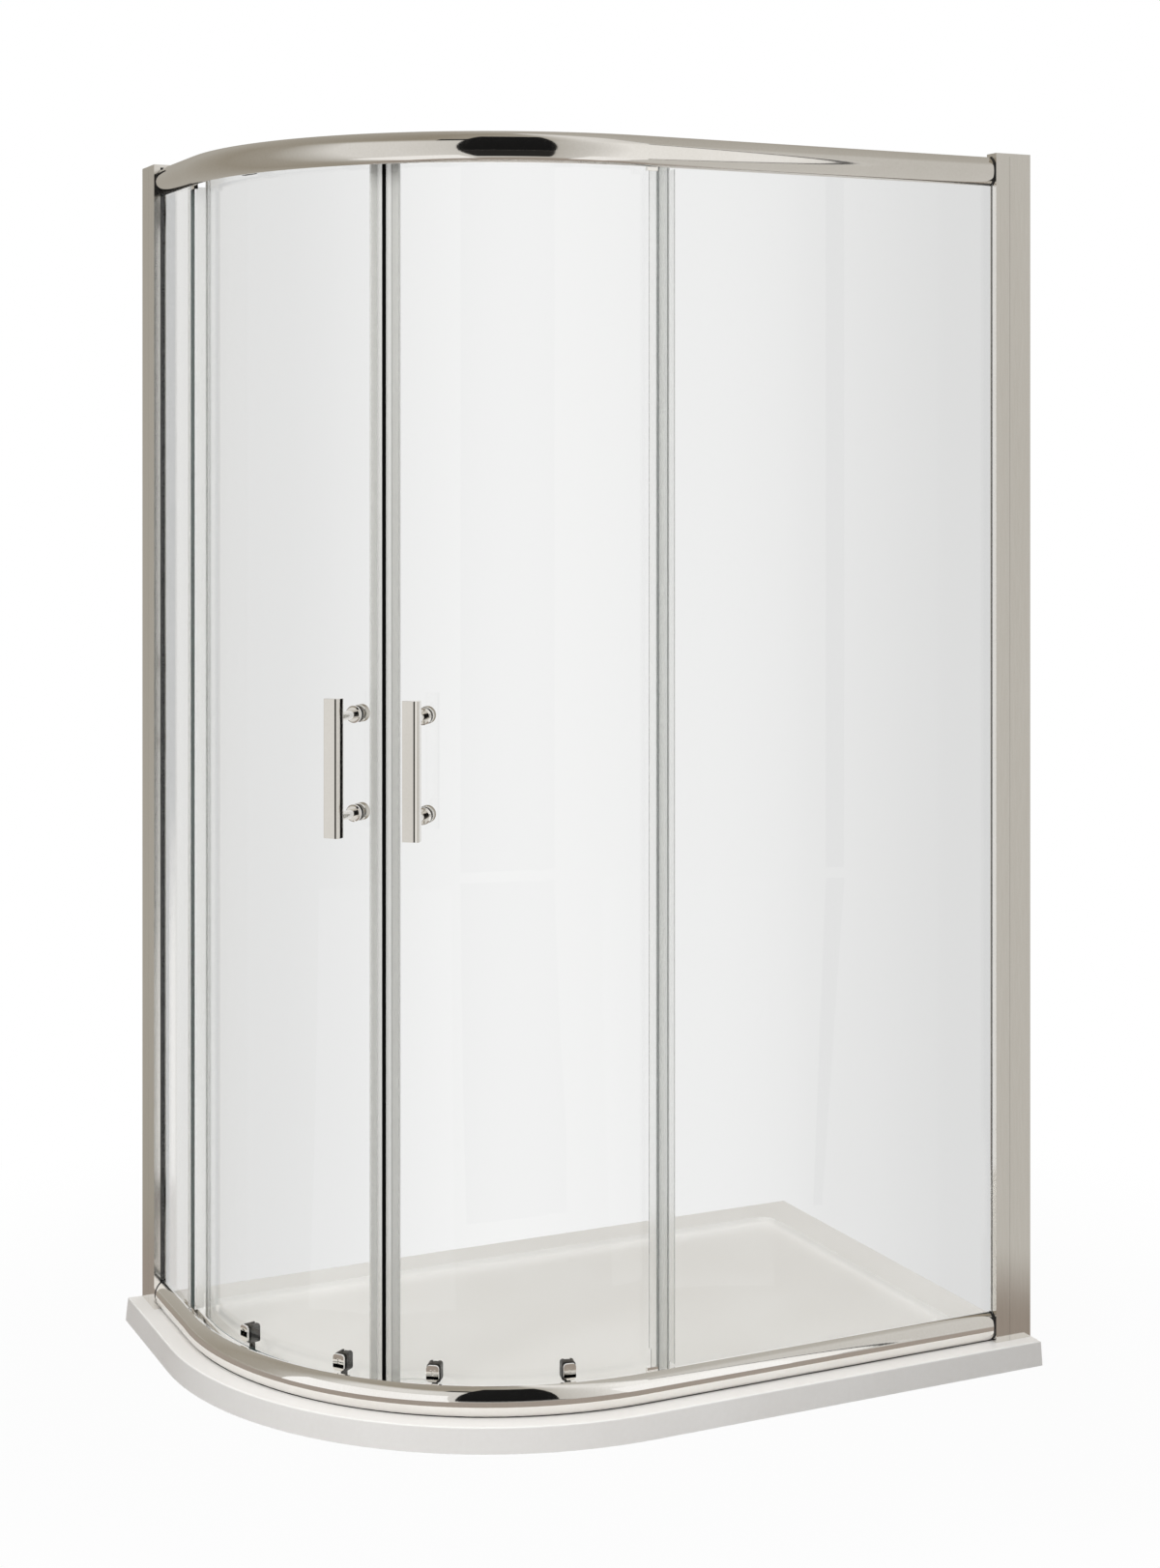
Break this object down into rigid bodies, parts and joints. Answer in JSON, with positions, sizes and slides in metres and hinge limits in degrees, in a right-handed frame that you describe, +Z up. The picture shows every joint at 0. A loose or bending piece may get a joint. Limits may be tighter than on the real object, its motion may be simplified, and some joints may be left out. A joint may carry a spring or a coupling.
{
  "type": "quadrant shower enclosure",
  "caption": "Offset quadrant shower enclosure: low curved tray, chrome rails and wall posts, flat fixed panels and curved glass doors that slide on grooved rollers, with pull bars.",
  "frame": {"origin": "centre of the tray's footprint, on the floor", "axes": "+Z up, +Y towards the back wall, +X towards the right-hand wall; the curved corner and its doors face -X and -Y"},
  "size_m": [1.2, 0.8, 1.836],
  "materials": {
    "cast_tray": "satin gloss",
    "chrome": "polished",
    "clear_glass": "clear, polished edges",
    "clear_vinyl": "translucent",
    "black_rubber": "matte",
    "black_plastic": "fine texture",
    "wheel_nylon": "smooth",
    "steel": "bright"
  },
  "bodies": {
    "enclosure": {"shower_tray": "cast_tray", "left_wall_channel": "chrome", "right_wall_channel": "chrome", "left_frame_profile": "chrome", "right_frame_profile": "chrome", "post_top_caps": "chrome", "top_rail": "chrome", "bottom_rail": "chrome", "rail_end_caps": "black_plastic", "rail_fixing_screws": "steel", "frame_clamp_screws": "steel", "screw_cover_caps": "chrome", "left_fixed_glass": "clear_glass", "right_fixed_glass": "clear_glass", "glazing_gaskets": "black_rubber", "panel_edge_seals": "clear_vinyl", "fixed_panel_clips": "chrome", "door_stops": "black_rubber"},
    "left_door": {"left_door_glass": "clear_glass", "left_magnet_seal": "clear_vinyl", "left_magnet_strip": "black_rubber", "left_trailing_seal": "clear_vinyl", "left_handle_bar": "chrome", "left_handle_posts": "chrome", "left_handle_washers": "black_rubber", "left_handle_knobs": "chrome", "left_top_roller_brackets": "black_plastic", "left_top_roller_axles": "steel", "left_bottom_roller_caps": "chrome", "left_bottom_roller_housings": "black_plastic"},
    "left_top_wheel_1": {"left_top_wheel_1": "wheel_nylon"},
    "left_top_wheel_2": {"left_top_wheel_2": "wheel_nylon"},
    "left_top_wheel_3": {"left_top_wheel_3": "wheel_nylon"},
    "left_top_wheel_4": {"left_top_wheel_4": "wheel_nylon"},
    "left_release_slide_1": {"left_release_slide_1": "black_plastic"},
    "left_bottom_wheel_1": {"left_bottom_wheel_1": "wheel_nylon"},
    "left_release_slide_2": {"left_release_slide_2": "black_plastic"},
    "left_bottom_wheel_2": {"left_bottom_wheel_2": "wheel_nylon"},
    "right_door": {"right_door_glass": "clear_glass", "right_magnet_seal": "clear_vinyl", "right_magnet_strip": "black_rubber", "right_trailing_seal": "clear_vinyl", "right_handle_bar": "chrome", "right_handle_posts": "chrome", "right_handle_washers": "black_rubber", "right_handle_knobs": "chrome", "right_top_roller_brackets": "black_plastic", "right_top_roller_axles": "steel", "right_bottom_roller_caps": "chrome", "right_bottom_roller_housings": "black_plastic"},
    "right_top_wheel_1": {"right_top_wheel_1": "wheel_nylon"},
    "right_top_wheel_2": {"right_top_wheel_2": "wheel_nylon"},
    "right_top_wheel_3": {"right_top_wheel_3": "wheel_nylon"},
    "right_top_wheel_4": {"right_top_wheel_4": "wheel_nylon"},
    "right_release_slide_1": {"right_release_slide_1": "black_plastic"},
    "right_bottom_wheel_1": {"right_bottom_wheel_1": "wheel_nylon"},
    "right_release_slide_2": {"right_release_slide_2": "black_plastic"},
    "right_bottom_wheel_2": {"right_bottom_wheel_2": "wheel_nylon"}
  },
  "joints": [
    {"name": "left_door_slide", "type": "hinge", "parent": "enclosure", "child": "left_door", "pos_m": [-0.05, 0.15, 0], "axis": [0, 0, 1], "range_deg": [-17.5, 0]},
    {"name": "left_top_wheel_1_spin", "type": "hinge", "parent": "left_door", "child": "left_top_wheel_1", "pos_m": [-0.44537, -0.14467, 1.8183], "axis": [-0.7895, -0.6137, 0], "continuous": true},
    {"name": "left_top_wheel_2_spin", "type": "hinge", "parent": "left_door", "child": "left_top_wheel_2", "pos_m": [-0.4331, -0.16046, 1.8183], "axis": [-0.7895, -0.6137, 0], "continuous": true},
    {"name": "left_top_wheel_3_spin", "type": "hinge", "parent": "left_door", "child": "left_top_wheel_3", "pos_m": [-0.52898, 0.03286, 1.8183], "axis": [-0.9664, -0.2572, 0], "continuous": true},
    {"name": "left_top_wheel_4_spin", "type": "hinge", "parent": "left_door", "child": "left_top_wheel_4", "pos_m": [-0.52384, 0.01353, 1.8183], "axis": [-0.9664, -0.2572, 0], "continuous": true},
    {"name": "left_release_slide_1_lift", "type": "slide", "parent": "left_door", "child": "left_release_slide_1", "axis": [0, 0, 1], "range_m": [0, 0.005], "stiffness_N_per_m": 400, "springref_m": -0.01},
    {"name": "left_bottom_wheel_1_spin", "type": "hinge", "parent": "left_release_slide_1", "child": "left_bottom_wheel_1", "pos_m": [-0.43118, -0.1463, 0.0503], "axis": [-0.7895, -0.6137, 0], "continuous": true},
    {"name": "left_release_slide_2_lift", "type": "slide", "parent": "left_door", "child": "left_release_slide_2", "axis": [0, 0, 1], "range_m": [0, 0.005], "stiffness_N_per_m": 400, "springref_m": -0.01},
    {"name": "left_bottom_wheel_2_spin", "type": "hinge", "parent": "left_release_slide_2", "child": "left_bottom_wheel_2", "pos_m": [-0.51655, 0.02582, 0.0503], "axis": [-0.9664, -0.2572, 0], "continuous": true},
    {"name": "right_door_slide", "type": "hinge", "parent": "enclosure", "child": "right_door", "pos_m": [-0.05, 0.15, 0], "axis": [0, 0, 1], "range_deg": [0, 20]},
    {"name": "right_top_wheel_1_spin", "type": "hinge", "parent": "right_door", "child": "right_top_wheel_1", "pos_m": [-0.34137, -0.24781, 1.8183], "axis": [-0.5744, -0.8186, 0], "continuous": true},
    {"name": "right_top_wheel_2_spin", "type": "hinge", "parent": "right_door", "child": "right_top_wheel_2", "pos_m": [-0.325, -0.25929, 1.8183], "axis": [-0.5744, -0.8186, 0], "continuous": true},
    {"name": "right_top_wheel_3_spin", "type": "hinge", "parent": "right_door", "child": "right_top_wheel_3", "pos_m": [-0.16316, -0.32994, 1.8183], "axis": [-0.2097, -0.9778, 0], "continuous": true},
    {"name": "right_top_wheel_4_spin", "type": "hinge", "parent": "right_door", "child": "right_top_wheel_4", "pos_m": [-0.14361, -0.33414, 1.8183], "axis": [-0.2097, -0.9778, 0], "continuous": true},
    {"name": "right_release_slide_1_lift", "type": "slide", "parent": "right_door", "child": "right_release_slide_1", "axis": [0, 0, 1], "range_m": [0, 0.005], "stiffness_N_per_m": 400, "springref_m": -0.01},
    {"name": "right_bottom_wheel_1_spin", "type": "hinge", "parent": "right_release_slide_1", "child": "right_bottom_wheel_1", "pos_m": [-0.32733, -0.2452, 0.0503], "axis": [-0.5744, -0.8186, 0], "continuous": true},
    {"name": "right_release_slide_2_lift", "type": "slide", "parent": "right_door", "child": "right_release_slide_2", "axis": [0, 0, 1], "range_m": [0, 0.005], "stiffness_N_per_m": 400, "springref_m": -0.01},
    {"name": "right_bottom_wheel_2_spin", "type": "hinge", "parent": "right_release_slide_2", "child": "right_bottom_wheel_2", "pos_m": [-0.15125, -0.32206, 0.0503], "axis": [-0.2097, -0.9778, 0], "continuous": true}
  ],
  "couplings": [
    {"joint": "left_top_wheel_1_spin", "follows": "left_door_slide", "ratio": -61.625},
    {"joint": "left_top_wheel_2_spin", "follows": "left_door_slide", "ratio": -61.625},
    {"joint": "left_top_wheel_3_spin", "follows": "left_door_slide", "ratio": -61.625},
    {"joint": "left_top_wheel_4_spin", "follows": "left_door_slide", "ratio": -61.625},
    {"joint": "left_bottom_wheel_1_spin", "follows": "left_door_slide", "ratio": -60.35},
    {"joint": "left_bottom_wheel_2_spin", "follows": "left_door_slide", "ratio": -60.35},
    {"joint": "right_top_wheel_1_spin", "follows": "right_door_slide", "ratio": -61.625},
    {"joint": "right_top_wheel_2_spin", "follows": "right_door_slide", "ratio": -61.625},
    {"joint": "right_top_wheel_3_spin", "follows": "right_door_slide", "ratio": -61.625},
    {"joint": "right_top_wheel_4_spin", "follows": "right_door_slide", "ratio": -61.625},
    {"joint": "right_bottom_wheel_1_spin", "follows": "right_door_slide", "ratio": -60.35},
    {"joint": "right_bottom_wheel_2_spin", "follows": "right_door_slide", "ratio": -60.35}
  ]
}
